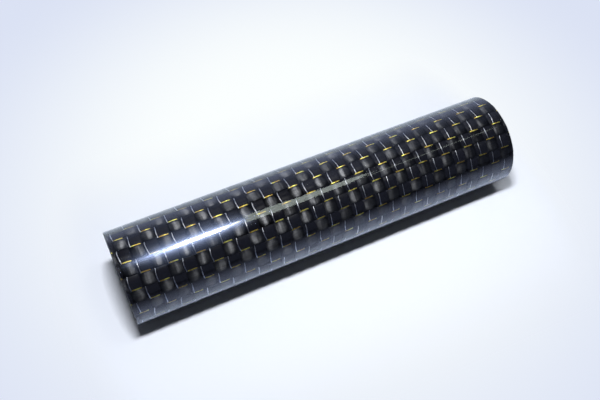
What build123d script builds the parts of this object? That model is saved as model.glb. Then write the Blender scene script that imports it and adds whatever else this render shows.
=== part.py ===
from build123d import *

import os

os.makedirs("parts", exist_ok=True)

# Driving dimensions, in millimetres
OUTER_DIAMETER = 15.0
WALL_THICKNESS = 1.0
LENGTH = 66.0
# Light sanding on the rims of the two sawn ends, outside and in the bore
OUTER_EDGE_BREAK = 0.15
BORE_EDGE_BREAK = 0.1

# Sizes that follow from them
OUTER_RADIUS = OUTER_DIAMETER / 2
BORE_RADIUS = OUTER_RADIUS - WALL_THICKNESS

# The tube lies along X on the floor at Z = 0, with its middle over the origin
SECTION_PLANE = Plane(origin=(0, 0, OUTER_RADIUS), x_dir=(0, 0, 1), z_dir=(1, 0, 0))

# One length of woven tube, open from end to end and sawn square
with BuildPart() as tube:
    with BuildSketch(SECTION_PLANE):
        Circle(OUTER_RADIUS)
        Circle(BORE_RADIUS, mode=Mode.SUBTRACT)
    extrude(amount=LENGTH / 2, both=True)

    outer_rims = tube.edges().filter_by(GeomType.CIRCLE).group_by(SortBy.RADIUS)[-1]
    chamfer(outer_rims, length=OUTER_EDGE_BREAK)

    bore_rims = tube.edges().filter_by(GeomType.CIRCLE).group_by(SortBy.RADIUS)[0]
    chamfer(bore_rims, length=BORE_EDGE_BREAK)

tube.part.label = "tube"
export_step(tube.part, "parts/tube.step")
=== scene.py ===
"""A length of woven carbon fibre tube that lies on a pale floor.

Its outer ply is a plain weave. Flat carbon tows run along the tube and round it, and each has a metallised
tracer thread beside it, gold along the tube and silver round it. Clear resin lies over them, and the plain
plies under them make the rest of the wall. Every size is in metres, in the frame of the CAD model.
"""

import logging
import math
from dataclasses import dataclass
from enum import Enum

import bpy
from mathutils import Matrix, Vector


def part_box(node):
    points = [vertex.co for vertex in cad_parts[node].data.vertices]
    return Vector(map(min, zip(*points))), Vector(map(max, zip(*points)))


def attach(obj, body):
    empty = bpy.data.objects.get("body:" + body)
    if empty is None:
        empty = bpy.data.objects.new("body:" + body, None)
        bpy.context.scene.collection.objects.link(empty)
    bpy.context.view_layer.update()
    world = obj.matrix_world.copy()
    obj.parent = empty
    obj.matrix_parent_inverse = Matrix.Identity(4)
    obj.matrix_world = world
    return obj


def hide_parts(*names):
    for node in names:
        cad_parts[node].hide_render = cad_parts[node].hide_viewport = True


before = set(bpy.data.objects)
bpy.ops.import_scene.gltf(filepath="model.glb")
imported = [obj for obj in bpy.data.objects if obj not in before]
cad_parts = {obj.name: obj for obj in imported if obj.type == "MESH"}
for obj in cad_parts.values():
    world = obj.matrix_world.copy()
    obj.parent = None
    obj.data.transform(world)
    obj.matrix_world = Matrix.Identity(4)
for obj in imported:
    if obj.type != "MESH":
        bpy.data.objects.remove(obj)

LOG = logging.getLogger("carbon_tube")
MM = 0.001
NODE = "tube"
BODY = "root"
ROOM_COLOUR = "#F1F6FF"


class Run(Enum):
    """The two ways in which a strand of the weave can run."""

    ALONG = False
    ROUND = True


def linear(hex_colour: str) -> tuple[float, float, float, float]:
    """Turn an sRGB colour into the linear one that a shader takes.

    Args:
        hex_colour: The colour as "#RRGGBB".

    Returns:
        Red, green, blue and an alpha of 1.
    """
    channels = [int(hex_colour[at : at + 2], 16) / 255 for at in (1, 3, 5)]
    red, green, blue = [c / 12.92 if c <= 0.04045 else ((c + 0.055) / 1.055) ** 2.4 for c in channels]
    return red, green, blue, 1.0


def add(
    tree: bpy.types.NodeTree, kind: str, inputs: dict[str | int, object] | None = None, **settings: object
) -> bpy.types.Node:
    """Add a node to a tree, with its settings, values and links.

    Args:
        tree: The tree that gets the node.
        kind: The node's type.
        inputs: What goes into each input, by its name or number: a value, a socket, or a node, which
            stands for its first output.
        settings: The node's own settings, by name.

    Returns:
        The new node.
    """
    node = tree.nodes.new(kind)
    for name, value in settings.items():
        setattr(node, name, value)
    for key, value in (inputs or {}).items():
        if isinstance(value, bpy.types.Node):
            value = value.outputs[0]
        if isinstance(value, bpy.types.NodeSocket):
            tree.links.new(value, node.inputs[key])
        else:
            node.inputs[key].default_value = value
    return node


def new_material(name: str) -> tuple[bpy.types.Material, bpy.types.NodeTree]:
    """Make an empty node material.

    Args:
        name: The material's name.

    Returns:
        The material and its node tree, which has no nodes yet.
    """
    material = bpy.data.materials.new(name)
    material.use_nodes = True
    material.node_tree.nodes.clear()
    return material, material.node_tree


@dataclass(frozen=True)
class CarbonTow:
    """Flat tow of carbon filaments, laid dry and wetted by clear resin.

    The eye sees a dark silky band with fine streaks along its filaments. Its glint is drawn out across them.
    Its colour can also hold a painted highlight on each crest and painted shade where the tow dives.
    """

    name: str
    run: Run
    dark: str
    pale: str
    metallic: float
    specular: float
    roughness: float
    stretch: float
    ripple: float
    # How far the colour sinks to the dark one where the tow dives, as painted shade that leaves a painted
    # highlight on each crest: 0 for not at all
    painted_dive_shade: float
    # A filament is 0.007 mm thick, too fine to show, so the streaks are bundles of them
    streak_width: float = 0.11 * MM
    streak_length: float = 3.0 * MM
    ripple_length: float = 0.5 * MM
    lump_length: float = 2.4 * MM

    def build(self) -> bpy.types.Material:
        """Build the material, with its streaks along the filaments and ripples across them.

        Returns:
            The material.
        """
        material, tree = new_material(self.name)
        place = add(tree, "ShaderNodeTexCoord").outputs["Object"]
        along, across = 1 / self.streak_length, 1 / self.streak_width
        scale = (across, along, along) if self.run is Run.ROUND else (along, across, across)
        stretched = add(tree, "ShaderNodeMapping", {"Vector": place, "Scale": scale})
        streaks = add(tree, "ShaderNodeTexNoise", {"Vector": stretched, "Scale": 1.0, "Detail": 2.0})
        contrast = add(tree, "ShaderNodeMapRange", {0: streaks, 1: 0.35, 2: 0.65, 3: 0.55, 4: 1.0})
        ridges = add(tree, "ShaderNodeBump", {"Height": streaks, "Strength": 0.35, "Distance": 0.02 * MM})
        # The filaments of a tow bend together, so their ripples reach across it, and no two crests lie alike
        short, long = 1 / self.ripple_length, 1 / (8 * self.ripple_length)
        crosswise = (long, short, short) if self.run is Run.ROUND else (short, long, long)
        squeezed = add(tree, "ShaderNodeMapping", {"Vector": place, "Scale": crosswise})
        ripples = add(tree, "ShaderNodeTexNoise", {"Vector": squeezed, "Scale": 1.0, "Detail": 1.0})
        rippled = add(
            tree,
            "ShaderNodeBump",
            {"Height": ripples, "Strength": self.ripple, "Distance": 0.08 * MM, "Normal": ridges},
        )
        lumps = add(
            tree,
            "ShaderNodeTexNoise",
            {"Vector": place, "Scale": 1 / self.lump_length, "Detail": 0.0},
        )
        # The pale colour is a painted highlight on each crest, and the dark one is painted shade where the
        # tow dives
        share = self.painted_highlight_share(tree, contrast, lumps, ripples)
        colour = add(
            tree,
            "ShaderNodeMix",
            {"Factor": share, "A": linear(self.dark), "B": linear(self.pale)},
            data_type="RGBA",
        )
        uneven = add(
            tree,
            "ShaderNodeBump",
            {"Height": lumps, "Strength": self.ripple, "Distance": 0.4 * MM, "Normal": rippled},
        )
        # The tangent runs round the tube, and the glint is drawn out along it or a quarter turn from it
        tangent = add(tree, "ShaderNodeTangent", direction_type="RADIAL", axis="X")
        surface = add(
            tree,
            "ShaderNodeBsdfPrincipled",
            {
                "Base Color": colour.outputs["Result"],
                "Metallic": self.metallic,
                "Roughness": self.roughness,
                "Specular IOR Level": self.specular,
                "Anisotropic": self.stretch,
                "Anisotropic Rotation": 0.25 if self.run is Run.ROUND else 0.0,
                "Normal": uneven,
                "Tangent": tangent,
            },
        )
        add(tree, "ShaderNodeOutputMaterial", {"Surface": surface})
        return material

    def painted_highlight_share(
        self,
        tree: bpy.types.NodeTree,
        streaks: bpy.types.Node,
        lumps: bpy.types.Node,
        ripples: bpy.types.Node,
    ) -> bpy.types.Node:
        """Add the share of the pale colour, a painted highlight that fades out from the middle of each crest
        as a soft oval into painted shade.

        Args:
            tree: The material's tree.
            streaks: The share of the pale colour from streak to streak.
            lumps: The noise that makes one crest paler than the next.
            ripples: The noise that frays the oval's rim.

        Returns:
            The node that gives the share.
        """
        from_crest = add(tree, "ShaderNodeAttribute", attribute_name="from_crest").outputs["Fac"]
        from_middle = add(tree, "ShaderNodeAttribute", attribute_name="from_middle").outputs["Fac"]
        frayed = add(tree, "ShaderNodeMapRange", {0: ripples, 1: 0.3, 2: 0.7, 3: -0.06, 4: 0.06})
        along = add(tree, "ShaderNodeMath", {0: from_crest, 1: frayed})
        reach = add(tree, "ShaderNodeMath", {0: along, 1: 1.95}, operation="MULTIPLY")
        breadth = add(tree, "ShaderNodeMath", {0: from_middle, 1: 0.9}, operation="MULTIPLY")
        spot = add(tree, "ShaderNodeCombineXYZ", {"X": reach, "Y": breadth})
        away = add(tree, "ShaderNodeVectorMath", {0: spot}, operation="LENGTH").outputs["Value"]
        # Inside the soft oval lies the painted highlight, and outside it the painted shade
        oval = add(
            tree,
            "ShaderNodeMapRange",
            {0: away, 1: 1.0, 2: 0.5, 3: 1.0 - self.painted_dive_shade, 4: 1.0},
            interpolation_type="SMOOTHSTEP",
        )
        dullest = 1.0 - 0.65 * self.painted_dive_shade
        uneven = add(tree, "ShaderNodeMapRange", {0: lumps, 1: 0.35, 2: 0.65, 3: dullest, 4: 1.0})
        share = add(tree, "ShaderNodeMath", {0: oval, 1: streaks}, operation="MULTIPLY")
        return add(tree, "ShaderNodeMath", {0: share, 1: uneven}, operation="MULTIPLY")


@dataclass(frozen=True)
class MetallisedThread:
    """Tracer thread of metallised film, slit and twisted.

    The eye sees a bright broken line, because each twist turns a facet of the film to the light. That light
    and shade of the facets is painted into the colour, over a real crinkle.
    """

    name: str
    colour: str
    # The colour of a facet turned from the light: painted shade
    shade: str
    roughness: float
    crinkle: float = 0.5
    twist_length: float = 0.55 * MM
    # How much darker the thread is in the stretches where its film is worn: 0 for no wear
    wear: float = 0.0
    wear_length: float = 1.6 * MM

    def build(self) -> bpy.types.Material:
        """Build the material, with painted light and shade for each facet of the film.

        Returns:
            The material.
        """
        material, tree = new_material(self.name)
        place = add(tree, "ShaderNodeTexCoord").outputs["Object"]
        twists = add(
            tree,
            "ShaderNodeTexNoise",
            {"Vector": place, "Scale": 1 / self.twist_length, "Detail": 1.0},
        )
        worn = add(
            tree,
            "ShaderNodeTexNoise",
            {"Vector": place, "Scale": 1 / self.wear_length, "Detail": 0.0},
        )
        bright = add(tree, "ShaderNodeMapRange", {0: worn, 1: 0.38, 2: 0.58, 3: 1.0 - self.wear, 4: 1.0})
        # Each twist is painted as a lit or a shaded facet, and the worn stretches are darker still
        turned = add(tree, "ShaderNodeMapRange", {0: twists, 1: 0.4, 2: 0.6})
        painted_facet_light_and_wear = add(tree, "ShaderNodeMath", {0: turned, 1: bright}, operation="MULTIPLY")
        colour = add(
            tree,
            "ShaderNodeMix",
            {"Factor": painted_facet_light_and_wear, "A": linear(self.shade), "B": linear(self.colour)},
            data_type="RGBA",
        )
        crinkle = add(
            tree,
            "ShaderNodeBump",
            {"Height": twists, "Strength": self.crinkle, "Distance": 0.05 * MM},
        )
        surface = add(
            tree,
            "ShaderNodeBsdfPrincipled",
            {
                "Base Color": colour.outputs["Result"],
                "Metallic": 1.0,
                "Roughness": self.roughness,
                "Normal": crinkle,
            },
        )
        add(tree, "ShaderNodeOutputMaterial", {"Surface": surface})
        return material


@dataclass(frozen=True)
class ClearEpoxy:
    """Clear epoxy resin, cured against a film and polished, or sawn and left dull.

    The eye sees a glassy coat whose reflections lie smooth over the weave. Sawn, it is frosted.
    """

    name: str
    roughness: float
    coat: float
    # How deep the marks of the saw are, and how far apart: a depth of 0 leaves the resin smooth
    wave: float = 0.0
    wave_length: float = 0.3 * MM

    def build(self) -> bpy.types.Material:
        """Build the material, which bends what the camera sees and lets the lamps through.

        Returns:
            The material.
        """
        material, tree = new_material(self.name)
        place = add(tree, "ShaderNodeTexCoord").outputs["Object"]
        resin = add(
            tree,
            "ShaderNodeBsdfPrincipled",
            {
                "Base Color": linear("#FFFFFF"),
                "Roughness": self.roughness,
                "IOR": 1.56,
                "Transmission Weight": 1.0,
                "Coat Weight": self.coat,
                "Coat Roughness": self.roughness,
                "Coat IOR": 1.56,
            },
        )
        if self.wave:
            flow = add(
                tree,
                "ShaderNodeTexNoise",
                {"Vector": place, "Scale": 1 / self.wave_length, "Detail": 1.0},
            )
            skin = add(tree, "ShaderNodeBump", {"Height": flow, "Strength": self.wave, "Distance": 0.1 * MM})
            tree.links.new(skin.outputs["Normal"], resin.inputs["Normal"])
        clear = add(tree, "ShaderNodeBsdfTransparent")
        seen = add(tree, "ShaderNodeLightPath").outputs["Is Camera Ray"]
        mixed = add(tree, "ShaderNodeMixShader", {0: seen, 1: clear, 2: resin})
        add(tree, "ShaderNodeOutputMaterial", {"Surface": mixed})
        return material


@dataclass(frozen=True)
class WrappedPlies:
    """Plain carbon plies, rolled on a mandrel, baked, and sawn at the ends.

    The eye sees dull end faces with the thin lines of the plies, and a satin bore with faint fibres along it.
    """

    name: str
    dark: str
    pale: str
    roughness: float
    axis_height: float
    ply: float = 0.2 * MM
    fibre_width: float = 0.13 * MM
    fibre_length: float = 6.0 * MM

    def build(self) -> bpy.types.Material:
        """Build the material, with ply lines where it is sawn and fibres in the bore.

        Returns:
            The material.
        """
        material, tree = new_material(self.name)
        place = add(tree, "ShaderNodeTexCoord").outputs["Object"]
        centred = add(
            tree,
            "ShaderNodeVectorMath",
            {0: place, 1: (0.0, 0.0, self.axis_height)},
            operation="SUBTRACT",
        )
        flat = add(tree, "ShaderNodeVectorMath", {0: centred, 1: (0.0, 1.0, 1.0)}, operation="MULTIPLY")
        radius = add(tree, "ShaderNodeVectorMath", {0: flat}, operation="LENGTH").outputs["Value"]
        turns = add(tree, "ShaderNodeMath", {0: radius, 1: 2 * math.pi / self.ply}, operation="MULTIPLY")
        lines = add(tree, "ShaderNodeMath", {0: turns}, operation="SINE")
        grit = add(tree, "ShaderNodeTexNoise", {"Vector": place, "Scale": 1 / (0.12 * MM), "Detail": 3.0})
        sawn = add(tree, "ShaderNodeMath", {0: lines, 1: 0.25, 2: grit}, operation="MULTIPLY_ADD")
        scale = (1 / self.fibre_length, 1 / self.fibre_width, 1 / self.fibre_width)
        stretched = add(tree, "ShaderNodeMapping", {"Vector": place, "Scale": scale})
        fibres = add(tree, "ShaderNodeTexNoise", {"Vector": stretched, "Scale": 1.0, "Detail": 3.0})
        facing = add(tree, "ShaderNodeNewGeometry").outputs["Normal"]
        end_on = add(
            tree,
            "ShaderNodeVectorMath",
            {0: facing, 1: (1.0, 0.0, 0.0)},
            operation="DOT_PRODUCT",
        ).outputs["Value"]
        how_square = add(tree, "ShaderNodeMath", {0: end_on}, operation="ABSOLUTE")
        is_end = add(tree, "ShaderNodeMath", {0: how_square, 1: 0.9}, operation="GREATER_THAN")
        pattern = add(tree, "ShaderNodeMix", {"Factor": is_end, "A": fibres, "B": sawn})
        contrast = add(tree, "ShaderNodeMapRange", {0: pattern, 1: 0.25, 2: 0.75})
        colour = add(
            tree,
            "ShaderNodeMix",
            {"Factor": contrast, "A": linear(self.dark), "B": linear(self.pale)},
            data_type="RGBA",
        )
        relief = add(tree, "ShaderNodeBump", {"Height": pattern, "Strength": 0.3, "Distance": 0.03 * MM})
        surface = add(
            tree,
            "ShaderNodeBsdfPrincipled",
            {"Base Color": colour.outputs["Result"], "Roughness": self.roughness, "Normal": relief},
        )
        add(tree, "ShaderNodeOutputMaterial", {"Surface": surface})
        return material


@dataclass(frozen=True)
class PalePaper:
    """Matte sheet of pale background paper.

    The eye sees an even pale ground. The lamps light it near the tube, so that it takes the tube's shadow,
    and farther off it glows by itself, a painted pool of light that dims outwards. What the tube's gloss
    shows of it is a painted reflection, bluer and darker to the front.
    """

    name: str
    half_tube: float
    sheet: str = "#ECF2FE"
    middle: str = "#FBFFFF"
    edge: str = "#DBE2F4"
    room: str = ROOM_COLOUR
    gloss_behind: str = "#CDDAEC"
    gloss_in_front: str = "#C4D1F6"

    def build(self) -> bpy.types.Material:
        """Build the material, lit near the tube and glowing away from it.

        Returns:
            The material.
        """
        material, tree = new_material(self.name)
        place = add(tree, "ShaderNodeTexCoord").outputs["Object"]
        spot = add(tree, "ShaderNodeSeparateXYZ", {0: place})
        # The gloss of the tube shows the floor as a painted reflection
        glossy = add(tree, "ShaderNodeLightPath").outputs["Is Glossy Ray"]
        in_gloss = self.in_gloss(tree, spot.outputs["Y"])
        sheet_colour = add(
            tree,
            "ShaderNodeMix",
            {"Factor": glossy, "A": linear(self.sheet), "B": in_gloss},
            data_type="RGBA",
        )
        glow_colour = add(
            tree,
            "ShaderNodeMix",
            {"Factor": glossy, "A": self.to_the_eye(tree, place), "B": in_gloss},
            data_type="RGBA",
        )
        sheet = add(tree, "ShaderNodeBsdfDiffuse", {"Color": sheet_colour.outputs["Result"]})
        glow = add(tree, "ShaderNodeEmission", {"Color": glow_colour.outputs["Result"], "Strength": 1.0})
        mixed = add(tree, "ShaderNodeMixShader", {0: self.how_far(tree, spot), 1: sheet, 2: glow})
        add(tree, "ShaderNodeOutputMaterial", {"Surface": mixed})
        # The floor's own glow lights nothing that the lamps don't, so they alone are aimed at
        material.cycles.emission_sampling = "NONE"
        return material

    def how_far(self, tree: bpy.types.NodeTree, spot: bpy.types.Node) -> bpy.types.Node:
        """Add how far a spot is outside the lit ground, from 0 beside the tube to 1 well away from it.

        Args:
            tree: The material's tree.
            spot: The node that gives the spot's coordinates.

        Returns:
            The node that gives the share.
        """
        along = add(tree, "ShaderNodeMath", {0: spot.outputs["X"]}, operation="ABSOLUTE")
        # Past an end the way counts three times
        beyond = add(
            tree,
            "ShaderNodeMath",
            {0: along, 1: 3.0, 2: -3.0 * self.half_tube},
            operation="MULTIPLY_ADD",
        )
        past_end = add(tree, "ShaderNodeMath", {0: beyond, 1: 0.0}, operation="MAXIMUM")
        gap = add(tree, "ShaderNodeCombineXYZ", {"X": past_end, "Y": spot.outputs["Y"]})
        reach = add(tree, "ShaderNodeVectorMath", {0: gap}, operation="LENGTH").outputs["Value"]
        return add(
            tree,
            "ShaderNodeMapRange",
            {0: reach, 1: 11 * MM, 2: 32 * MM},
            interpolation_type="SMOOTHSTEP",
        )

    def to_the_eye(self, tree: bpy.types.NodeTree, place: bpy.types.NodeSocket) -> bpy.types.NodeSocket:
        """Add the colour of the glow, a painted pool of light that dims outwards and then passes into the
        colour of the room.

        Args:
            tree: The material's tree.
            place: The spot's coordinates.

        Returns:
            The colour.
        """
        # The glow is painted brightest round a spot near the tube, as a painted pool of light
        from_middle = add(
            tree,
            "ShaderNodeVectorMath",
            {0: place, 1: (5 * MM, 15 * MM, 0.0)},
            operation="DISTANCE",
        ).outputs["Value"]
        painted_light_falloff = add(
            tree,
            "ShaderNodeMapRange",
            {0: from_middle, 1: 20 * MM, 2: 75 * MM},
            interpolation_type="SMOOTHSTEP",
        )
        near = add(
            tree,
            "ShaderNodeMix",
            {"Factor": painted_light_falloff, "A": linear(self.middle), "B": linear(self.edge)},
            data_type="RGBA",
        )
        # No horizon shows, because far off the floor has the room's own colour
        afar = add(
            tree,
            "ShaderNodeMapRange",
            {0: from_middle, 1: 120 * MM, 2: 500 * MM},
            interpolation_type="SMOOTHSTEP",
        )
        return add(
            tree,
            "ShaderNodeMix",
            {"Factor": afar, "A": near.outputs["Result"], "B": linear(self.room)},
            data_type="RGBA",
        ).outputs["Result"]

    def in_gloss(self, tree: bpy.types.NodeTree, toward: bpy.types.NodeSocket) -> bpy.types.NodeSocket:
        """Add the colour that the gloss of the tube shows of the floor: a painted reflection, bluer and dark
        to the front.

        Args:
            tree: The material's tree.
            toward: How far back the spot is, less than 0 in front of the tube's axis.

        Returns:
            The colour.
        """
        in_front = add(tree, "ShaderNodeMapRange", {0: toward, 1: 0.0, 2: -20 * MM})
        tint = add(
            tree,
            "ShaderNodeMix",
            {"Factor": in_front, "A": linear(self.gloss_behind), "B": linear(self.gloss_in_front)},
            data_type="RGBA",
        )
        # The painted reflection darkens from 6 mm in front of the axis on, to a half 22 mm farther
        front = add(tree, "ShaderNodeMapRange", {0: toward, 1: -0.006, 2: -1.006, 3: 0.0, 4: 45.0})
        steep = add(tree, "ShaderNodeMath", {0: front, 1: front, 2: 1.0}, operation="MULTIPLY_ADD")
        shown = add(tree, "ShaderNodeMath", {0: 1.0, 1: steep}, operation="DIVIDE")
        return add(
            tree,
            "ShaderNodeMix",
            {"Factor": shown, "A": linear("#000000"), "B": tint.outputs["Result"]},
            data_type="RGBA",
        ).outputs["Result"]


class StrandTree:
    """The geometry node tree that lays a family of woven strands along the tube or round it.

    A strand is a flat oval swept on a path that goes over and under the strands that cross it. Its neighbours
    go the other way over them.
    """

    NAME = "woven_strands"
    INPUTS = {
        "Round": "Bool",
        "Strands": "Int",
        "Points": "Int",
        "Sides": "Int",
        "Run Start": "Float",
        "Run Length": "Float",
        "First Place": "Float",
        "Place Step": "Float",
        "Wave Start": "Float",
        "Wave Pitch": "Float",
        "Wave Height": "Float",
        "Mid Radius": "Float",
        "Tilt": "Float",
        "Wander": "Float",
        "Wander Start": "Float",
        "Wander Length": "Float",
        "Taper": "Float",
        "Sway": "Float",
        "Drift": "Float",
        "Drift Length": "Float",
        "Stray": "Float",
        "Width": "Float",
        "Thickness": "Float",
        "Half Length": "Float",
        "Axis Height": "Float",
        "Smooth": "Bool",
        "Material": "Material",
    }

    def __init__(self) -> None:
        """Start the tree, with an input for each size."""
        self.tree = bpy.data.node_groups.new(self.NAME, "GeometryNodeTree")
        for name, kind in self.INPUTS.items():
            self.tree.interface.new_socket(name, in_out="INPUT", socket_type=f"NodeSocket{kind}")
        self.tree.interface.new_socket("Geometry", in_out="OUTPUT", socket_type="NodeSocketGeometry")
        self.given = add(self.tree, "NodeGroupInput").outputs

    def build(self) -> bpy.types.GeometryNodeTree:
        """Build the tree, from the straight paths to the dressed strands.

        Returns:
            The finished tree.
        """
        copies = self.copies()
        index = copies.outputs["Duplicate Index"]
        run, along, angle = self.places(index)
        turned_angle, wave_start = self.wandered(along, angle)
        cosine = self.wave(run, wave_start, index)
        laid, outward = self.laid(copies, along, turned_angle, cosine)
        marked = self.marked(laid, cosine)
        shaped = self.shaped(marked, outward, cosine)
        dressed = self.swept(shaped, self.section())
        add(self.tree, "NodeGroupOutput", {"Geometry": dressed})
        return self.tree

    def copies(self) -> bpy.types.Node:
        """Add a straight path for each strand.

        Returns:
            The node that gives the paths and numbers them.
        """
        tree, given = self.tree, self.given
        line = add(tree, "GeometryNodeCurvePrimitiveLine", {"End": (1.0, 0.0, 0.0)})
        path = add(tree, "GeometryNodeResampleCurve", {"Curve": line, "Count": given["Points"]})
        return add(
            tree,
            "GeometryNodeDuplicateElements",
            {"Geometry": path, "Amount": given["Strands"]},
            domain="SPLINE",
        )

    def places(self, index: bpy.types.NodeSocket) -> tuple[bpy.types.Node, bpy.types.Node, bpy.types.Node]:
        """Add where each point of a straight strand is.

        Args:
            index: The strand's number.

        Returns:
            How far along its run the point is, how far along the tube that is, and the angle round it.
        """
        tree, given = self.tree, self.given
        factor = add(tree, "GeometryNodeSplineParameter").outputs["Factor"]
        # How far along its run a point is, and where its strand lies beside the others
        run = add(
            tree,
            "ShaderNodeMath",
            {0: factor, 1: given["Run Length"], 2: given["Run Start"]},
            operation="MULTIPLY_ADD",
        )
        place = add(
            tree,
            "ShaderNodeMath",
            {0: index, 1: given["Place Step"], 2: given["First Place"]},
            operation="MULTIPLY_ADD",
        )
        along = add(
            tree,
            "GeometryNodeSwitch",
            {"Switch": given["Round"], "False": run, "True": place},
            input_type="FLOAT",
        )
        angle = add(
            tree,
            "GeometryNodeSwitch",
            {"Switch": given["Round"], "False": place, "True": run},
            input_type="FLOAT",
        )
        return run, along, angle

    def wandered(
        self, along: bpy.types.Node, angle: bpy.types.Node
    ) -> tuple[bpy.types.Node, bpy.types.Node]:
        """Let the rows wander a little round the tube, and the rings cross them where they lie.

        Args:
            along: Where the point is along the tube.
            angle: Where it is round the tube, on a straight strand.

        Returns:
            The angle on the wandering strand, and where its wave starts.
        """
        tree, given = self.tree, self.given
        from_wander = add(tree, "ShaderNodeMath", {0: along, 1: given["Wander Start"]}, operation="SUBTRACT")
        wanders = add(tree, "ShaderNodeMath", {0: from_wander, 1: given["Wander Length"]}, operation="DIVIDE")
        bend = add(tree, "ShaderNodeMath", {0: wanders, 1: 2 * math.pi}, operation="MULTIPLY")
        bow = add(tree, "ShaderNodeMath", {0: bend}, operation="SINE")
        shift = add(tree, "ShaderNodeMath", {0: bow, 1: given["Wander"]}, operation="MULTIPLY")
        drifted = add(tree, "ShaderNodeMath", {0: angle, 1: shift})
        turned_angle = add(
            tree,
            "GeometryNodeSwitch",
            {"Switch": given["Round"], "False": drifted, "True": angle},
            input_type="FLOAT",
        )
        late = add(
            tree,
            "GeometryNodeSwitch",
            {"Switch": given["Round"], "False": 0.0, "True": shift},
            input_type="FLOAT",
        )
        wave_start = add(tree, "ShaderNodeMath", {0: given["Wave Start"], 1: late})
        return turned_angle, wave_start

    def wave(
        self, run: bpy.types.Node, wave_start: bpy.types.Node, index: bpy.types.NodeSocket
    ) -> bpy.types.Node:
        """Add the wave over and under the strands that cross.

        Args:
            run: How far along its run the point is.
            wave_start: Where the wave starts.
            index: The strand's number, which turns every second strand's wave upside down.

        Returns:
            The height of the wave, from -1 to 1.
        """
        tree, given = self.tree, self.given
        from_start = add(tree, "ShaderNodeMath", {0: run, 1: wave_start}, operation="SUBTRACT")
        crossings = add(tree, "ShaderNodeMath", {0: from_start, 1: given["Wave Pitch"]}, operation="DIVIDE")
        phase = add(tree, "ShaderNodeMath", {0: crossings, 1: index}, operation="ADD")
        turned = add(tree, "ShaderNodeMath", {0: phase, 1: math.pi}, operation="MULTIPLY")
        return add(tree, "ShaderNodeMath", {0: turned}, operation="COSINE")

    def laid(
        self,
        copies: bpy.types.Node,
        along: bpy.types.Node,
        turned_angle: bpy.types.Node,
        cosine: bpy.types.Node,
    ) -> tuple[bpy.types.Node, bpy.types.Node]:
        """Lay the paths on the tube.

        Args:
            copies: The straight paths.
            along: Where the point is along the tube.
            turned_angle: Where it is round the tube.
            cosine: The height of the wave.

        Returns:
            The paths in their places, and the way that a strand's upper side faces.
        """
        tree, given = self.tree, self.given
        radius = add(
            tree,
            "ShaderNodeMath",
            {0: cosine, 1: given["Wave Height"], 2: given["Mid Radius"]},
            operation="MULTIPLY_ADD",
        )
        # The angle counts from the level of the axis on the -Y side, up over the top
        cos_angle = add(tree, "ShaderNodeMath", {0: turned_angle}, operation="COSINE")
        toward = add(tree, "ShaderNodeMath", {0: cos_angle, 1: -1.0}, operation="MULTIPLY")
        up = add(tree, "ShaderNodeMath", {0: turned_angle}, operation="SINE")
        outward = add(tree, "ShaderNodeCombineXYZ", {"Y": toward, "Z": up})
        turn = add(
            tree,
            "ShaderNodeVectorRotate",
            {"Vector": outward, "Angle": given["Tilt"]},
            rotation_type="X_AXIS",
        )
        # Along the tube the strand drifts, strays and sways about its place
        lengths = add(tree, "ShaderNodeMath", {0: along, 1: given["Drift Length"]}, operation="DIVIDE")
        arc = add(tree, "ShaderNodeMath", {0: lengths, 1: 2 * math.pi}, operation="MULTIPLY")
        slow = add(tree, "ShaderNodeMath", {0: arc}, operation="SINE")
        drifting = add(
            tree,
            "ShaderNodeMath",
            {0: slow, 1: given["Drift"], 2: along},
            operation="MULTIPLY_ADD",
        )
        round_spot = add(tree, "ShaderNodeCombineXYZ", {"X": lengths, "Y": cos_angle, "Z": up})
        noise = add(tree, "ShaderNodeTexNoise", {"Vector": round_spot, "Scale": 2.6, "Detail": 1.0})
        centred = add(tree, "ShaderNodeMath", {0: noise, 1: 0.5}, operation="SUBTRACT")
        strayed = add(
            tree,
            "ShaderNodeMath",
            {0: centred, 1: given["Stray"], 2: drifting},
            operation="MULTIPLY_ADD",
        )
        swayed = add(
            tree,
            "ShaderNodeMath",
            {0: cosine, 1: given["Sway"], 2: strayed},
            operation="MULTIPLY_ADD",
        )
        axis_point = add(tree, "ShaderNodeCombineXYZ", {"X": swayed, "Z": given["Axis Height"]})
        spot = add(
            tree,
            "ShaderNodeVectorMath",
            {0: outward, 1: radius, 2: axis_point},
            operation="MULTIPLY_ADD",
        )
        laid = add(tree, "GeometryNodeSetPosition", {"Geometry": copies, "Position": spot})
        return laid, turn

    def marked(self, laid: bpy.types.Node, cosine: bpy.types.Node) -> bpy.types.Node:
        """Store how far a point is from its crest, in pitches, for the finish's painted highlight and shade.

        Args:
            laid: The paths in their places.
            cosine: The height of the wave.

        Returns:
            The same paths with "from_crest" on their points.
        """
        tree, given = self.tree, self.given
        side = add(tree, "ShaderNodeMath", {0: given["Wave Height"]}, operation="SIGN")
        lift = add(tree, "ShaderNodeMath", {0: cosine, 1: side}, operation="MULTIPLY")
        from_crest = add(tree, "ShaderNodeMath", {0: lift}, operation="ARCCOSINE")
        crests = add(tree, "ShaderNodeMath", {0: from_crest, 1: math.pi}, operation="DIVIDE")
        return add(
            tree,
            "GeometryNodeStoreNamedAttribute",
            {"Geometry": laid, "Name": "from_crest", "Value": crests},
            data_type="FLOAT",
            domain="POINT",
        )

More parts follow.
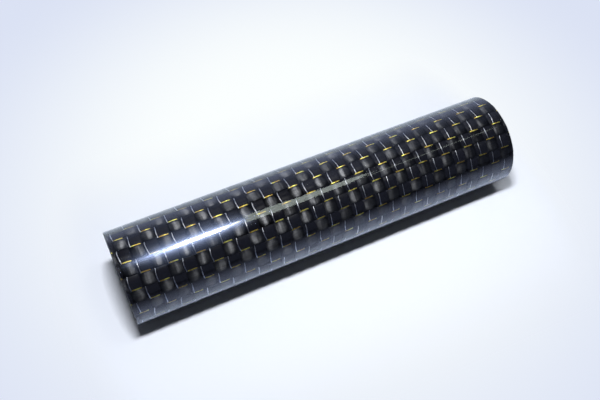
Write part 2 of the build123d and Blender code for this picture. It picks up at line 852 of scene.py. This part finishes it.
    def shaped(
        self, marked: bpy.types.Node, outward: bpy.types.Node, cosine: bpy.types.Node
    ) -> bpy.types.Node:
        """Close the rings, turn the strands flat on the tube and give them their breadth.

        A tow is widest on its crests and narrows where it dives, which rounds the corners of what shows.

        Args:
            marked: The paths.
            outward: The way that a strand's upper side faces.
            cosine: The height of the wave.

        Returns:
            The paths, ready to be swept.
        """
        tree, given = self.tree, self.given
        square = add(tree, "ShaderNodeMath", {0: cosine, 1: cosine}, operation="MULTIPLY")
        joined = add(tree, "GeometryNodeSetSplineCyclic", {"Geometry": marked, "Cyclic": given["Round"]})
        upright = add(tree, "GeometryNodeSetCurveNormal", {"Curve": joined, "Normal": outward}, mode="FREE")
        steepness = add(tree, "ShaderNodeMath", {0: 1.0, 1: square}, operation="SUBTRACT")
        lost = add(tree, "ShaderNodeMath", {0: steepness, 1: given["Taper"]}, operation="MULTIPLY")
        breadth = add(tree, "ShaderNodeMath", {0: 1.0, 1: lost}, operation="SUBTRACT")
        return add(tree, "GeometryNodeSetCurveRadius", {"Curve": upright, "Radius": breadth})

    def section(self) -> bpy.types.Node:
        """Add the flat oval that is swept, with how far each corner is from its middle for the finish's
        painted highlight.

        Returns:
            The node that gives the oval, with "from_middle" on its points.
        """
        tree, given = self.tree, self.given
        circle = add(tree, "GeometryNodeCurvePrimitiveCircle", {"Resolution": given["Sides"], "Radius": 0.5})
        size = add(tree, "ShaderNodeCombineXYZ", {"X": given["Thickness"], "Y": given["Width"], "Z": 1.0})
        corner = add(tree, "ShaderNodeSeparateXYZ", {0: add(tree, "GeometryNodeInputPosition")})
        share = add(tree, "ShaderNodeMath", {0: corner.outputs[1], 1: 2.0}, operation="MULTIPLY")
        measured = add(
            tree,
            "GeometryNodeStoreNamedAttribute",
            {"Geometry": circle, "Name": "from_middle", "Value": share},
            data_type="FLOAT",
            domain="POINT",
        )
        return add(tree, "GeometryNodeTransform", {"Geometry": measured, "Scale": size})

    def swept(self, shaped: bpy.types.Node, oval: bpy.types.Node) -> bpy.types.Node:
        """Sweep the oval, cut what reaches past an end of the tube, and dress the mesh.

        Args:
            shaped: The paths.
            oval: The section.

        Returns:
            The node that gives the finished mesh.
        """
        tree, given = self.tree, self.given
        open_run = add(tree, "FunctionNodeBooleanMath", {0: given["Round"]}, operation="NOT")
        swept = add(
            tree,
            "GeometryNodeCurveToMesh",
            {"Curve": shaped, "Profile Curve": oval, "Fill Caps": open_run},
        )

        # A ring that reaches past an end of the tube is cut flat there
        here = add(tree, "ShaderNodeSeparateXYZ", {0: add(tree, "GeometryNodeInputPosition")})
        other_end = add(tree, "ShaderNodeMath", {0: given["Half Length"], 1: -1.0}, operation="MULTIPLY")
        kept_x = add(tree, "ShaderNodeClamp", {"Value": here, "Min": other_end, "Max": given["Half Length"]})
        kept = add(tree, "ShaderNodeCombineXYZ", {"X": kept_x, "Y": here.outputs[1], "Z": here.outputs[2]})
        trimmed = add(tree, "GeometryNodeSetPosition", {"Geometry": swept, "Position": kept})
        smooth = add(
            tree,
            "GeometryNodeSetShadeSmooth",
            {"Geometry": trimmed, "Shade Smooth": given["Smooth"]},
        )
        real = add(tree, "GeometryNodeRealizeInstances", {"Geometry": smooth})
        return add(tree, "GeometryNodeSetMaterial", {"Geometry": real, "Material": given["Material"]})


def plain_mesh(
    name: str, tree: bpy.types.GeometryNodeTree, sizes: dict[str, object]
) -> bpy.types.Object:
    """Run a geometry node tree and keep what it makes as a plain mesh.

    Args:
        name: The name of the new object.
        tree: The tree to run.
        sizes: The value of each input, by the input's name.

    Returns:
        An object at the origin that has the mesh and no modifier.
    """
    carrier = bpy.data.objects.new(name, bpy.data.meshes.new(f"{name}_seed"))
    bpy.context.scene.collection.objects.link(carrier)
    modifier = carrier.modifiers.new("weave", "NODES")
    modifier.node_group = tree
    sockets = {item.name: item.identifier for item in tree.interface.items_tree if item.in_out == "INPUT"}
    for size, value in sizes.items():
        modifier[sockets[size]] = value
    depsgraph = bpy.context.evaluated_depsgraph_get()
    mesh = bpy.data.meshes.new_from_object(carrier.evaluated_get(depsgraph), depsgraph=depsgraph)
    mesh.name = name
    carrier.modifiers.remove(modifier)
    seed = carrier.data
    carrier.data = mesh
    bpy.data.meshes.remove(seed)
    return carrier


def turned_ring(
    name: str, profile: list[tuple[float, float]], axis_height: float, segments: int = 256
) -> bpy.types.Object:
    """Turn a closed profile about the tube's axis.

    Args:
        name: The name of the new object.
        profile: The corners of the section as (x, radius), which go round it clockwise with x to the right
            and the radius upward.
        axis_height: The height of the axis over the floor.
        segments: The number of steps round the axis.

    Returns:
        An object at the origin that has the ring as its mesh.
    """
    count = len(profile)
    spots = []
    for step in range(segments):
        angle = 2 * math.pi * step / segments
        toward, up = -math.cos(angle), math.sin(angle)
        spots += [(x, toward * radius, axis_height + up * radius) for x, radius in profile]
    faces = []
    for step in range(segments):
        here, beyond = step * count, (step + 1) % segments * count
        for corner in range(count):
            following = (corner + 1) % count
            faces.append((here + corner, here + following, beyond + following, beyond + corner))
    mesh = bpy.data.meshes.new(name)
    mesh.from_pydata(spots, [], faces)
    mesh.update()
    ring = bpy.data.objects.new(name, mesh)
    bpy.context.scene.collection.objects.link(ring)
    return ring


@dataclass
class Weave:
    """The outer ply: tows and tracer threads, both along the tube and round it."""

    length: float
    outer_radius: float
    # 22 rows of tows close round the tube with no break, and the ring pitch is what 3K tow gives
    rows: int = 22
    rings: int = 33
    ring_pitch: float = 2.095 * MM
    # The first silver ring inside the left end, and the place of the tow to the left of each ring
    first_silver: float = 0.86 * MM
    tow_from_silver: float = 0.64
    silver_drift: float = 0.26 * MM
    # The angle of the first row, up from the level of the axis on the -Y side
    first_row: float = math.radians(63.9)
    wander: float = math.radians(2.6)
    wander_start: float = -1.8 * MM
    wander_length: float = 60 * MM
    resin_cover: float = 0.1 * MM
    tow_thickness: float = 0.2 * MM
    wave_height: float = 0.13 * MM
    along_width: float = 2.0 * MM
    round_width: float = 2.2 * MM
    # How much of its width a tow loses between its crests, where the hoop tows gain a little
    along_taper: float = 0.4
    round_taper: float = -0.12
    round_stray: float = 0.25 * MM
    # The gold thread is a flat film, which leans to the front on the top of the tube
    gold_width: float = 0.28 * MM
    gold_thickness: float = 0.05 * MM
    gold_lift: float = 0.05 * MM
    gold_depth: float = 0.035 * MM
    gold_tilt: float = math.radians(12.5)
    # The silver thread is rounder, and strays farther from its line than a tow does
    silver_width: float = 0.15 * MM
    silver_thickness: float = 0.1 * MM
    silver_rise: float = 0.06 * MM
    silver_sway: float = 0.07 * MM
    silver_stray: float = 0.6 * MM
    along_points: int = 257
    round_points: int = 198
    tow_sides: int = 12
    thread_sides: int = 6

    @property
    def mid_radius(self) -> float:
        """Radius midway between the crests and the troughs of the tows."""
        return self.outer_radius - self.resin_cover - self.tow_thickness / 2 - self.wave_height

    @property
    def lowest(self) -> float:
        """Radius of the underside of the tows where they are lowest."""
        return self.mid_radius - self.wave_height - self.tow_thickness / 2

    @property
    def row_angle(self) -> float:
        """Angle from one row to the next one down the camera's side."""
        return -2 * math.pi / self.rows

    @property
    def first_tow_x(self) -> float:
        """Where the first ring of tow lies, which the left end cuts."""
        return -self.length / 2 + self.first_silver - self.tow_from_silver * self.ring_pitch

    def along_sizes(self) -> dict[str, object]:
        """Give the inputs that every strand along the tube shares."""
        return {
            "Round": Run.ALONG.value,
            "Strands": self.rows,
            "Points": self.along_points,
            "Run Start": -self.length / 2,
            "Run Length": self.length,
            "Place Step": self.row_angle,
            "Wave Start": self.first_tow_x,
            "Wave Pitch": self.ring_pitch,
        }

    def round_sizes(self) -> dict[str, object]:
        """Give the inputs that every strand round the tube shares."""
        return {
            "Round": Run.ROUND.value,
            "Strands": self.rings,
            "Points": self.round_points,
            "Run Start": self.first_row,
            # The last point is a step short of the first, which it is joined to
            "Run Length": -2 * math.pi * (self.round_points - 1) / self.round_points,
            "Place Step": self.ring_pitch,
            "Wave Start": self.first_row,
            "Wave Pitch": -self.row_angle,
        }

    def lay(self, name: str, finish: bpy.types.Material, sizes: dict[str, object]) -> bpy.types.Object:
        """Lay one family of strands.

        Args:
            name: The piece's name.
            finish: The material of the strands.
            sizes: The inputs that differ from family to family.

        Returns:
            The piece.
        """
        tree = bpy.data.node_groups.get(StrandTree.NAME) or StrandTree().build()
        common = {
            "Mid Radius": self.mid_radius,
            "Half Length": self.length / 2 - 0.01 * MM,
            "Axis Height": self.outer_radius,
            "Wander": self.wander,
            "Wander Start": self.wander_start,
            "Wander Length": self.wander_length,
            "Taper": 0.0,
            "Sway": 0.0,
            "Drift": 0.0,
            "Drift Length": 84 * MM,
            "Stray": 0.0,
            "Smooth": True,
            "Material": finish,
        }
        return plain_mesh(name, tree, common | sizes)

    def build(self) -> list[bpy.types.Object]:
        """Lay the four families of strands.

        Returns:
            The axial tows, the hoop tows, the gold threads and the silver threads.
        """
        return [self.axial_tows(), self.hoop_tows(), self.gold_threads(), self.silver_threads()]

    def axial_tows(self) -> bpy.types.Object:
        """Lay the tows along the tube, whose crests are painted palest as a painted highlight, with painted
        shade where they dive.

        Returns:
            The piece.
        """
        # Pale crests are a painted highlight, and dark dives are painted shade
        finish = CarbonTow(
            "carbon_tow_axial",
            Run.ALONG,
            dark="#17181B",
            pale="#545557",
            metallic=1.0,
            specular=0.5,
            roughness=0.473,
            stretch=0.889,
            ripple=0.5,
            painted_dive_shade=1.0,
        )
        own = {
            "Sides": self.tow_sides,
            "First Place": self.first_row,
            "Wave Height": -self.wave_height,
            "Width": self.along_width,
            "Taper": self.along_taper,
            "Thickness": self.tow_thickness,
        }
        return self.lay("axial_tows", finish.build(), self.along_sizes() | own)

    def hoop_tows(self) -> bpy.types.Object:
        """Lay the tows round the tube, whose finish is a darker, nearly glossless copy of the carbon, painted
        shade that keeps them dark between the pale crests.

        Returns:
            The piece.
        """
        # The same carbon as the axial tows, painted darker and with almost no gloss: painted shade
        finish = CarbonTow(
            "carbon_tow_hoop",
            Run.ROUND,
            dark="#07080D",
            pale="#101118",
            metallic=0.0,
            specular=0.05,
            roughness=0.4,
            stretch=0.6,
            ripple=0.3,
            painted_dive_shade=0.0,
        )
        own = {
            "Sides": self.tow_sides,
            "First Place": self.first_tow_x,
            "Wave Height": self.wave_height,
            "Width": self.round_width,
            "Taper": self.round_taper,
            "Stray": self.round_stray,
            "Thickness": self.tow_thickness,
        }
        return self.lay("hoop_tows", finish.build(), self.round_sizes() | own)

    def gold_threads(self) -> bpy.types.Object:
        """Lay a gold thread between each two rows of tows.

        Returns:
            The piece.
        """
        finish = MetallisedThread(
            "gold_metallised_thread",
            colour="#D6D66E",
            shade="#9A7E38",
            roughness=0.55,
            crinkle=0.2,
            wear=0.5,
        )
        own = {
            "Sides": self.thread_sides,
            "First Place": self.first_row + self.row_angle / 2,
            "Wave Height": self.wave_height + self.gold_lift,
            "Mid Radius": self.mid_radius - self.gold_depth,
            "Tilt": self.gold_tilt,
            "Smooth": False,
            "Width": self.gold_width,
            "Thickness": self.gold_thickness,
        }
        return self.lay("gold_threads", finish.build(), self.along_sizes() | own)

    def silver_threads(self) -> bpy.types.Object:
        """Lay a silver thread beside each ring of tow.

        Returns:
            The piece.
        """
        finish = MetallisedThread(
            "silver_metallised_thread",
            colour="#DADEE6",
            shade="#9AA0AC",
            roughness=0.36,
        )
        first_silver_x = self.first_tow_x + self.tow_from_silver * self.ring_pitch
        own = {
            "Sides": self.thread_sides,
            # The last two would lie past the right end
            "Strands": self.rings - 2,
            "First Place": first_silver_x + self.silver_drift,
            "Wave Height": -self.wave_height,
            "Mid Radius": self.mid_radius + self.silver_rise,
            "Sway": self.silver_sway,
            "Drift": self.silver_drift,
            "Stray": self.silver_stray,
            "Width": self.silver_width,
            "Thickness": self.silver_thickness,
        }
        return self.lay("silver_threads", finish.build(), self.round_sizes() | own)


@dataclass
class Wall:
    """The clear resin over the weave, and the plain plies under it."""

    length: float
    outer_radius: float
    weave_floor: float
    wall_thickness: float = 1.0 * MM
    outer_edge_break: float = 0.15 * MM
    bore_edge_break: float = 0.1 * MM
    # The resin soaks a little into the plies, so no gap shows between the two
    soak: float = 0.06 * MM

    def resin(self) -> bpy.types.Object:
        """Build the coat of resin, which fills the space from the plies to the tube's outside.

        Returns:
            The piece.
        """
        half, edge = self.length / 2, self.outer_edge_break
        inner = self.weave_floor - self.soak
        profile = [
            (-half, inner),
            (-half, self.outer_radius - edge),
            (-half + edge, self.outer_radius),
            (half - edge, self.outer_radius),
            (half, self.outer_radius - edge),
            (half, inner),
        ]
        coat = turned_ring("clear_resin", profile, self.outer_radius)
        polished = ClearEpoxy("polished_clear_epoxy", roughness=0.06, coat=0.75)
        sawn = ClearEpoxy("sawn_clear_epoxy", roughness=0.4, coat=0.0, wave=0.3)
        coat.data.materials.append(polished.build())
        coat.data.materials.append(sawn.build())
        # The profile's sides that face away from the axis and towards it
        outside, inside = 2, 5
        for face in coat.data.polygons:
            side = face.index % len(profile)
            face.material_index = 0 if side in (outside, inside) else 1
            face.use_smooth = True
        coat.data.set_sharp_from_angle(angle=math.radians(30))
        return coat

    def plies(self) -> bpy.types.Object:
        """Build the plies under the weave, with the bore.

        Returns:
            The piece.
        """
        half, edge = self.length / 2, self.bore_edge_break
        bore = self.outer_radius - self.wall_thickness
        profile = [
            (-half, bore + edge),
            (-half, self.weave_floor),
            (half, self.weave_floor),
            (half, bore + edge),
            (half - edge, bore),
            (-half + edge, bore),
        ]
        ring = turned_ring("plies", profile, self.outer_radius)
        finish = WrappedPlies(
            "rolled_carbon_plies", "#141518", "#5A5C62", roughness=0.4, axis_height=self.outer_radius
        )
        ring.data.materials.append(finish.build())
        for face in ring.data.polygons:
            face.use_smooth = True
        ring.data.set_sharp_from_angle(angle=math.radians(30))
        return ring


@dataclass
class Studio:
    """The floor, the lamps, the cards and the camera."""

    tube_left: float
    radius: float
    # What the gloss of the tube shows of the room, which is bluer than the room is to the eye
    room_tint: str = "#CBD8FF"
    # The colour of the cards that the gloss shows as lamps
    lamp_tint: str = "#F1FFF7"
    lamp_height: float = 0.155

    def floor(self) -> None:
        """Lay the pale floor."""
        half = 1.5
        mesh = bpy.data.meshes.new("floor")
        corners = [(-half, -half, 0.0), (half, -half, 0.0), (half, half, 0.0), (-half, half, 0.0)]
        mesh.from_pydata(corners, [], [(0, 1, 2, 3)])
        floor = bpy.data.objects.new("floor", mesh)
        bpy.context.scene.collection.objects.link(floor)
        mesh.materials.append(PalePaper("pale_paper", -self.tube_left).build())

    def world(self) -> None:
        """Light the room: pale to the eye, dim for the rest, and bluish low behind the tube in the gloss."""
        world = bpy.data.worlds.new("room")
        world.use_nodes = True
        tree = world.node_tree
        tree.nodes.clear()
        way = add(tree, "ShaderNodeTexCoord").outputs["Generated"]
        heading = add(tree, "ShaderNodeSeparateXYZ", {0: way})
        # In the gloss the room is brighter low down than overhead, and dark in front of the tube
        low = add(
            tree,
            "ShaderNodeMapRange",
            {0: heading.outputs["Z"], 1: 0.75, 2: 0.15, 3: 0.2, 4: 0.75},
            interpolation_type="SMOOTHSTEP",
        )
        behind = add(
            tree,
            "ShaderNodeMapRange",
            {0: heading.outputs["Y"], 1: 0.0, 2: 0.3},
            interpolation_type="SMOOTHSTEP",
        )
        shade = add(tree, "ShaderNodeMath", {0: low, 1: behind}, operation="MULTIPLY")
        in_gloss = add(tree, "ShaderNodeMath", {0: shade, 1: 0.07}, operation="MAXIMUM")
        path = add(tree, "ShaderNodeLightPath")
        direct = add(
            tree,
            "ShaderNodeMath",
            {0: path.outputs["Is Camera Ray"], 1: path.outputs["Is Transmission Ray"]},
            operation="MAXIMUM",
        )
        plain = add(tree, "ShaderNodeMapRange", {0: direct, 3: 0.06, 4: 1.0})
        glow = add(tree, "ShaderNodeBackground", {"Color": linear(ROOM_COLOUR), "Strength": plain})
        tinted = add(tree, "ShaderNodeBackground", {"Color": linear(self.room_tint), "Strength": in_gloss})
        mixed = add(tree, "ShaderNodeMixShader", {0: path.outputs["Is Glossy Ray"], 1: glow, 2: tinted})
        add(tree, "ShaderNodeOutputWorld", {"Surface": mixed})
        bpy.context.scene.world = world

    def softbox(self, name: str, place: Vector, size: tuple[float, float], power: float) -> bpy.types.Object:
        """Hang a softbox that faces the tube.

        Args:
            name: The lamp's name.
            place: Where its middle is.
            size: Its extent along the tube and across.
            power: Its power in watts.

        Returns:
            The lamp.
        """
        data = bpy.data.lights.new(name, "AREA")
        data.shape = "RECTANGLE"
        data.size, data.size_y = size
        data.energy = power
        lamp = bpy.data.objects.new(name, data)
        bpy.context.scene.collection.objects.link(lamp)
        lamp.location = place
        aim = Vector((place.x, 0.0, self.radius)) - place
        lamp.rotation_euler = aim.to_track_quat("-Z", "Y").to_euler()
        return lamp

    def only_in_resin(self, lamp: bpy.types.Object) -> None:
        """Let a lamp light the weave alone, so that it adds no streak to the resin over it.

        Args:
            lamp: The lamp.
        """
        lamp.data.use_nodes = True
        tree = lamp.data.node_tree
        tree.nodes.clear()
        inside = add(tree, "ShaderNodeLightPath").outputs["Transmission Depth"]
        lit = add(tree, "ShaderNodeMath", {0: inside, 1: 0.5}, operation="GREATER_THAN")
        glow = add(tree, "ShaderNodeEmission", {"Strength": lit})
        add(tree, "ShaderNodeOutputLight", {"Surface": glow})

    def card(
        self, name: str, corners: list[tuple[float, float, float]], colour: str, strength: float
    ) -> tuple[bpy.types.NodeTree, bpy.types.Node, bpy.types.Node]:
        """Hang a card that only the gloss of the resin shows, and the weave under it doesn't.

        Args:
            name: The card's name.
            corners: Its corners, in order.
            colour: The colour of its glow.
            strength: How strong the glow is where it is strongest.

        Returns:
            The card's node tree, the node that gives its strength, and the node that glows.
        """
        mesh = bpy.data.meshes.new(name)
        mesh.from_pydata(corners, [], [tuple(range(len(corners)))])
        card = bpy.data.objects.new(name, mesh)
        bpy.context.scene.collection.objects.link(card)
        material, tree = new_material(name)
        # A ray that has gone into the resin has a transmission behind it
        inside = add(tree, "ShaderNodeLightPath").outputs["Transmission Depth"]
        outside = add(tree, "ShaderNodeMath", {0: inside, 1: 0.5}, operation="LESS_THAN")
        shown = add(tree, "ShaderNodeMath", {0: outside, 1: strength}, operation="MULTIPLY")
        glow = add(tree, "ShaderNodeEmission", {"Color": linear(colour), "Strength": shown})
        add(tree, "ShaderNodeOutputMaterial", {"Surface": glow})
        # No surface but the gloss is lit by a card, so no lamp ray is aimed at it
        material.cycles.emission_sampling = "NONE"
        mesh.materials.append(material)
        card.visible_camera = False
        card.visible_diffuse = False
        card.visible_transmission = False
        card.visible_shadow = False
        return tree, shown, glow

    def strip(self) -> None:
        """Hang the dim strip that carries the streak on to the right, and the thin line that follows it."""
        wide = [
            (0.0124, -0.0416),
            (0.0253, -0.0445),
            (0.0347, -0.0455),
            (0.0436, -0.0411),
            (0.0529, -0.0405),
            (0.0592, -0.0290),
            (0.0584, -0.0200),
            (0.0512, -0.0121),
            (0.0420, -0.0095),
            (0.0329, -0.0095),
            (0.0238, -0.0018),
            (0.0124, 0.0008),
        ]
        thin = [(0.0592, -0.0408), (0.1137, -0.0408), (0.1137, -0.0347), (0.0592, -0.0347)]
        for name, corners, strength in (("dim_strip", wide, 2.4), ("thin_line", thin, 0.8)):
            self.card(name, [(x, y, self.lamp_height) for x, y in corners], self.lamp_tint, strength)

    def side_cards(self) -> None:
        """Hang cards past the ends, which show in the gloss and the bore from the sides alone."""
        for side, name in ((-1.0, "left"), (1.0, "right")):
            overhead = [
                (side * 0.32, -0.055, 0.45),
                (side * 0.80, -0.055, 0.45),
                (side * 0.80, 0.035, 0.45),
                (side * 0.32, 0.035, 0.45),
            ]
            upright = [
                (side * 0.5, -0.3, 0.0),
                (side * 0.5, 0.3, 0.0),
                (side * 0.5, 0.3, 0.35),
                (side * 0.5, -0.3, 0.35),
            ]
            self.card(f"{name}_overhead_card", overhead, self.lamp_tint, 2.4)
            self.card(f"{name}_upright_card", upright, "#DDE6FF", 0.7)

    def halo(self, middle: Vector) -> None:
        """Hang the bluish glow round the key softbox, which is drawn out across the tube.

        Args:
            middle: Where the softbox is.
        """
        height = self.lamp_height + 0.002
        reach, half_span = 0.11, 0.04
        # Along the tube it is full near its middle, and gone at 26 mm
        full_to, gone_at = 0.003, 0.026
        # Across the tube it falls to a half this far off
        half_at = 0.0138
        west, east = middle.x - half_span, middle.x + half_span
        south, north = middle.y - reach, middle.y + reach
        tree, shown, glow = self.card(
            "softbox_halo",
            [(west, south, height), (east, south, height), (east, north, height), (west, north, height)],
            "#B9CEFF",
            25.0,
        )
        place = add(tree, "ShaderNodeTexCoord").outputs["Object"]
        from_middle = add(
            tree,
            "ShaderNodeVectorMath",
            {0: place, 1: (middle.x - 2 * MM, middle.y, height)},
            operation="SUBTRACT",
        )
        spans = add(tree, "ShaderNodeVectorMath", {0: from_middle}, operation="ABSOLUTE")
        span = add(tree, "ShaderNodeSeparateXYZ", {0: spans})
        sides = add(
            tree,
            "ShaderNodeMapRange",
            {0: span.outputs["X"], 1: gone_at, 2: full_to},
            interpolation_type="SMOOTHSTEP",
        )
        away = add(tree, "ShaderNodeMath", {0: span.outputs["Y"], 1: half_at}, operation="DIVIDE")
        steep = add(tree, "ShaderNodeMath", {0: away, 1: away, 2: 1.0}, operation="MULTIPLY_ADD")
        fade = add(tree, "ShaderNodeMath", {0: sides, 1: steep}, operation="DIVIDE")
        full = add(tree, "ShaderNodeMath", {0: fade, 1: shown}, operation="MULTIPLY")
        tree.links.new(full.outputs[0], glow.inputs["Strength"])

    def camera(self) -> None:
        """Set the camera where the photo was taken: over the left end of the tube, and aimed to its right."""
        data = bpy.data.cameras.new("camera")
        data.lens = 45.03
        data.clip_start = 0.001
        camera = bpy.data.objects.new("camera", data)
        bpy.context.scene.collection.objects.link(camera)
        elevation = math.radians(57.1)
        distance = 15.652 * self.radius
        camera.location = (
            self.tube_left + 0.0085 * self.radius,
            -distance * math.cos(elevation),
            self.radius + distance * math.sin(elevation),
        )
        aim = Vector((0.2525, 0.5360, -0.8054))
        camera.rotation_euler = aim.to_track_quat("-Z", "Y").to_euler()
        bpy.context.scene.camera = camera

    def lamps(self, middle: Vector) -> None:
        """Hang the softboxes.

        Args:
            middle: Where the key softbox is.
        """
        height = self.lamp_height
        key = self.softbox("key_softbox", middle, size=(0.016, 0.014), power=0.218)
        key.visible_diffuse = False
        # The floor has the key's light from a wider box nearer the left end, so that its shadow is soft there
        over_left = Vector((-0.019, -0.0232, height))
        wide = self.softbox("floor_softbox", over_left, size=(0.028, 0.014), power=0.229)
        wide.visible_glossy = False
        wide.visible_transmission = False
        over_right = Vector((0.036, -0.023, height))
        fill = self.softbox("fill_softbox", over_right, size=(0.046, 0.016), power=0.0078)
        fill.visible_glossy = False
        # A grid keeps it off the floor past the left end
        fill.data.spread = math.radians(60)
        behind = Vector((0.026, 0.075, height))
        back = self.softbox("back_softbox", behind, size=(0.03, 0.014), power=0.09)
        self.only_in_resin(back)

    def build(self) -> None:
        """Set up the whole studio."""
        # Almost overhead and a little to the camera's side, which is where the streak on the resin puts it
        middle = Vector((self.tube_left + 0.0285, -0.0232, self.lamp_height))
        self.floor()
        self.world()
        self.lamps(middle)
        self.strip()
        self.side_cards()
        self.halo(middle)
        self.camera()


def main() -> None:
    """Build the tube and the studio, and log how many faces each piece has."""
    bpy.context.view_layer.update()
    low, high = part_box(NODE)
    length, outer_radius = high.x - low.x, (high.z - low.z) / 2
    weave = Weave(length, outer_radius)
    wall = Wall(length, outer_radius, weave.lowest)
    for piece in [*weave.build(), wall.plies(), wall.resin()]:
        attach(piece, BODY)
        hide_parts(NODE)
        LOG.info("%s: %d faces", piece.name, len(piece.data.polygons))
    Studio(low.x, outer_radius).build()
    bpy.context.scene.view_settings.view_transform = "Standard"


if __name__ == "__main__":
    logging.basicConfig(level=logging.INFO, format="%(name)s: %(message)s")
    main()
